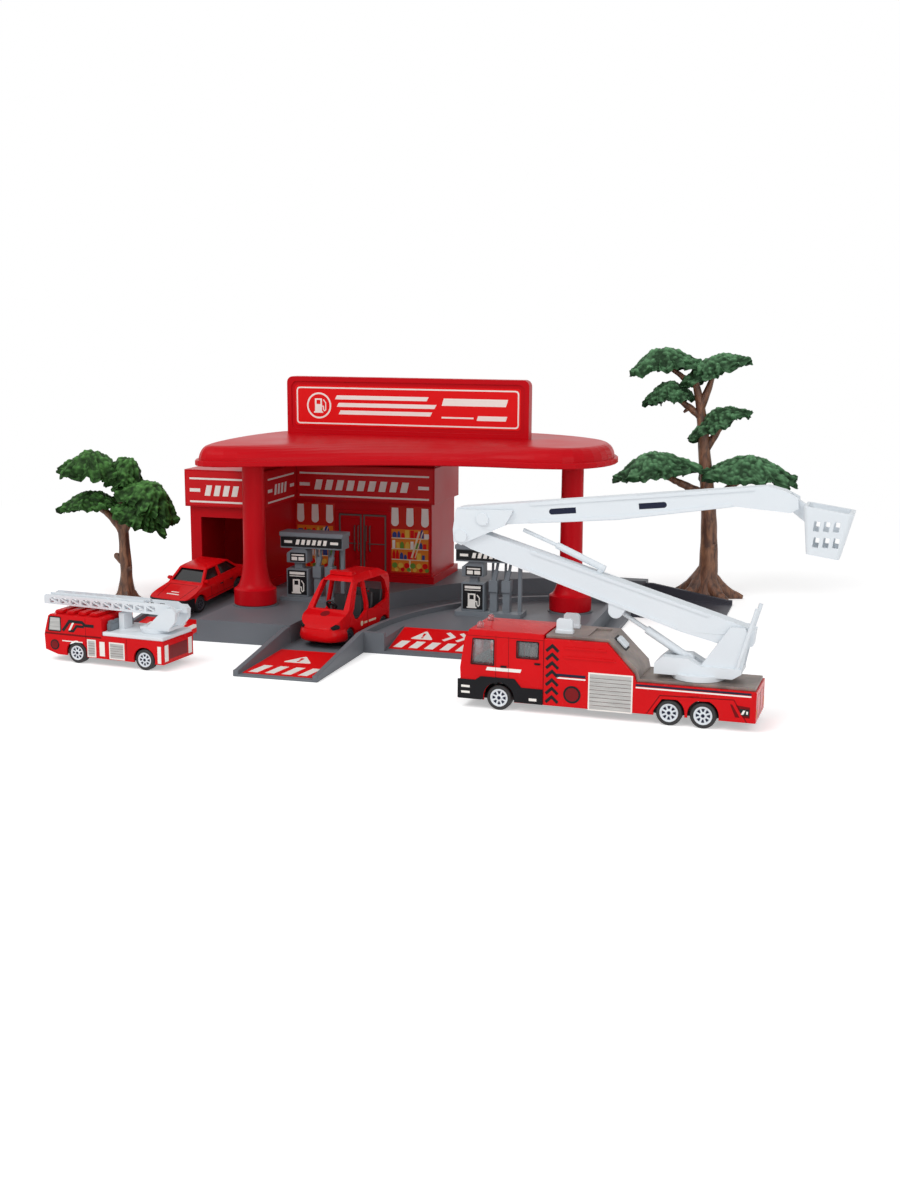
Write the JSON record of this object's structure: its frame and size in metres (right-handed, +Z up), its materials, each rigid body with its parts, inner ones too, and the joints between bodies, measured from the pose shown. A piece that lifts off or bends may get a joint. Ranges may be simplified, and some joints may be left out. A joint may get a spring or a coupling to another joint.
{
  "type": "toy gas station playset",
  "caption": "Toy gas station with canopy, garage bay, shop front, ramps and pumps, with a boom truck, a ladder truck, a sedan, an open cart and model trees around it.",
  "frame": {"origin": "on the ground under the entry lane, near the middle of the station", "axes": "+X to the right of the station's front, +Y to its back, +Z up"},
  "size_m": [0.5165, 0.3493, 0.1699],
  "materials": {
    "base_grey": "fine satin moulded plastic",
    "ramp_dark": "fine satin moulded plastic",
    "station_red": "satin gloss moulded plastic",
    "label_red": "printed glossy label",
    "label_window": "printed glossy label",
    "label_black": "printed glossy label",
    "pump_grey": "fine satin moulded plastic",
    "truck_black": "satin",
    "truck_red": "glossy enamel",
    "clear_plastic": "clear polished plastic",
    "dark_glazing": "tinted polished plastic",
    "bed_grey": "metallic satin paint",
    "boom_white": "satin gloss moulded plastic",
    "tyre_black": "matt moulded plastic",
    "bark": "rough painted",
    "leaf": "rough flocked"
  },
  "bodies": {
    "station": {"base_deck": "base_grey", "lane_ramp": "base_grey", "exit_ramp": "ramp_dark", "building_walls": "station_red", "fascia_roof": "station_red", "shop_door": "station_red", "column_left": "station_red", "column_right": "station_red", "canopy_shell": "station_red", "canopy_soffit": "station_red", "sign_board": "station_red", "sign_label": "label_red", "fascia_labels": "label_red", "window_labels": "label_window", "ramp_labels": "label_red", "pump_frame_1": "pump_grey", "pump_cabinet_1": "pump_grey", "pump_nozzles_1": "pump_grey", "pump_frame_2": "pump_grey", "pump_cabinet_2": "pump_grey", "pump_nozzles_2": "pump_grey", "pump_labels": "label_black", "tree_left_trunk": "bark", "tree_left_foliage": "leaf", "tree_right_trunk": "bark", "tree_right_foliage": "leaf"},
    "boom_truck": {"bt_chassis": "truck_black", "bt_cab": "truck_red", "bt_body": "truck_red", "bt_glazing": "clear_plastic", "bt_deck": "bed_grey", "bt_clips": "boom_white"},
    "bt_front_axle": {"bt_wheels_front": "tyre_black"},
    "bt_middle_axle": {"bt_wheels_middle": "tyre_black"},
    "bt_rear_axle": {"bt_wheels_rear": "tyre_black"},
    "bt_turret": {"bt_turntable": "boom_white"},
    "bt_lower": {"bt_lower_boom": "boom_white", "bt_fold_strut": "boom_white"},
    "bt_upper": {"bt_upper_boom": "boom_white"},
    "bt_basket": {"bt_bucket": "boom_white"},
    "bt_barrel": {"bt_lift_barrel": "boom_white"},
    "bt_rod": {"bt_lift_rod": "boom_white"},
    "ladder_truck": {"lt_chassis": "truck_black", "lt_body": "truck_red", "lt_glazing": "dark_glazing", "lt_deck": "boom_white"},
    "lt_front_axle": {"lt_wheels_front": "tyre_black"},
    "lt_rear_axle": {"lt_wheels_rear": "tyre_black"},
    "lt_turret": {"lt_turntable": "boom_white"},
    "lt_ladder_arm": {"lt_ladder": "boom_white"},
    "sedan": {"sd_chassis": "truck_black", "sd_body": "truck_red", "sd_glazing": "dark_glazing"},
    "sd_front_axle": {"sd_wheels_front": "tyre_black"},
    "sd_rear_axle": {"sd_wheels_rear": "tyre_black"},
    "cart": {"ct_chassis": "truck_black", "ct_body": "truck_red", "ct_seats": "truck_black"},
    "ct_front_axle": {"ct_wheels_front": "tyre_black"},
    "ct_rear_axle": {"ct_wheels_rear": "tyre_black"}
  },
  "joints": [
    {"name": "bt_roll", "type": "slide", "parent": "station", "child": "boom_truck", "axis": [-0.999, 0.0436, 0], "range_m": [-0.04, 0.04]},
    {"name": "bt_front_spin", "type": "hinge", "parent": "boom_truck", "child": "bt_front_axle", "pos_m": [0.12075, -0.15976, 0.0062], "axis": [0.0436, 0.999, 0], "continuous": true},
    {"name": "bt_middle_spin", "type": "hinge", "parent": "boom_truck", "child": "bt_middle_axle", "pos_m": [0.20397, -0.1634, 0.0062], "axis": [0.0436, 0.999, 0], "continuous": true},
    {"name": "bt_rear_spin", "type": "hinge", "parent": "boom_truck", "child": "bt_rear_axle", "pos_m": [0.21995, -0.16409, 0.0062], "axis": [0.0436, 0.999, 0], "continuous": true},
    {"name": "bt_swivel", "type": "hinge", "parent": "boom_truck", "child": "bt_turret", "pos_m": [0.21496, -0.16388, 0.021], "axis": [0, 0, 1], "continuous": true},
    {"name": "bt_lift", "type": "hinge", "parent": "bt_turret", "child": "bt_lower", "pos_m": [0.23294, -0.16466, 0.042], "axis": [0.0436, 0.999, 0], "range_deg": [0, 25]},
    {"name": "bt_fold", "type": "hinge", "parent": "bt_lower", "child": "bt_upper", "pos_m": [0.09807, -0.15877, 0.0835], "axis": [-0.0436, -0.999, 0], "range_deg": [-2, 100]},
    {"name": "bt_tilt", "type": "hinge", "parent": "bt_upper", "child": "bt_basket", "pos_m": [0.25462, -0.16561, 0.1058], "axis": [0.0436, 0.999, 0], "range_deg": [-40, 40]},
    {"name": "bt_strut_swing", "type": "hinge", "parent": "bt_turret", "child": "bt_barrel", "pos_m": [0.20996, -0.16366, 0.03], "axis": [0.0436, 0.999, 0], "range_deg": [0, 30]},
    {"name": "bt_strut_slide", "type": "slide", "parent": "bt_barrel", "child": "bt_rod", "axis": [-0.8567, 0.0374, 0.5145], "range_m": [0, 0.011]},
    {"name": "lt_roll", "type": "slide", "parent": "station", "child": "ladder_truck", "axis": [-0.9945, 0.1045, 0], "range_m": [-0.02, 0.04]},
    {"name": "lt_front_spin", "type": "hinge", "parent": "ladder_truck", "child": "lt_front_axle", "pos_m": [-0.12408, -0.13273, 0.0058], "axis": [0.1045, 0.9945, 0], "continuous": true},
    {"name": "lt_rear_spin", "type": "hinge", "parent": "ladder_truck", "child": "lt_rear_axle", "pos_m": [-0.08092, -0.13727, 0.0058], "axis": [0.1045, 0.9945, 0], "continuous": true},
    {"name": "lt_swivel", "type": "hinge", "parent": "ladder_truck", "child": "lt_turret", "pos_m": [-0.08161, -0.1372, 0.019], "axis": [0, 0, 1], "continuous": true},
    {"name": "lt_raise", "type": "hinge", "parent": "lt_turret", "child": "lt_ladder_arm", "pos_m": [-0.06968, -0.13845, 0.0305], "axis": [0.1045, 0.9945, 0], "range_deg": [0, 55]},
    {"name": "sd_roll", "type": "slide", "parent": "station", "child": "sedan", "axis": [-0.1736, -0.9774, -0.1208], "range_m": [-0.008, 0.008]},
    {"name": "sd_front_spin", "type": "hinge", "parent": "sedan", "child": "sd_front_axle", "pos_m": [-0.12115, -0.02716, 0.01252], "axis": [-0.9848, 0.1723, 0.0213], "continuous": true},
    {"name": "sd_rear_spin", "type": "hinge", "parent": "sedan", "child": "sd_rear_axle", "pos_m": [-0.11385, 0.01389, 0.0176], "axis": [-0.9848, 0.1723, 0.0213], "continuous": true},
    {"name": "ct_roll", "type": "slide", "parent": "station", "child": "cart", "axis": [-0.1736, -0.9848, 0], "range_m": [-0.02, 0.006]},
    {"name": "ct_front_spin", "type": "hinge", "parent": "cart", "child": "ct_front_axle", "pos_m": [-0.00697, -0.0697, 0.00755], "axis": [-0.9848, 0.1736, 0], "continuous": true},
    {"name": "ct_rear_spin", "type": "hinge", "parent": "cart", "child": "ct_rear_axle", "pos_m": [-0.00003, -0.0303, 0.00755], "axis": [-0.9848, 0.1736, 0], "continuous": true}
  ],
  "couplings": [
    {"joint": "bt_strut_swing", "follows": "bt_lift", "ratio": 1.185},
    {"joint": "bt_strut_slide", "follows": "bt_lift", "m_per_rad": 0.024}
  ]
}
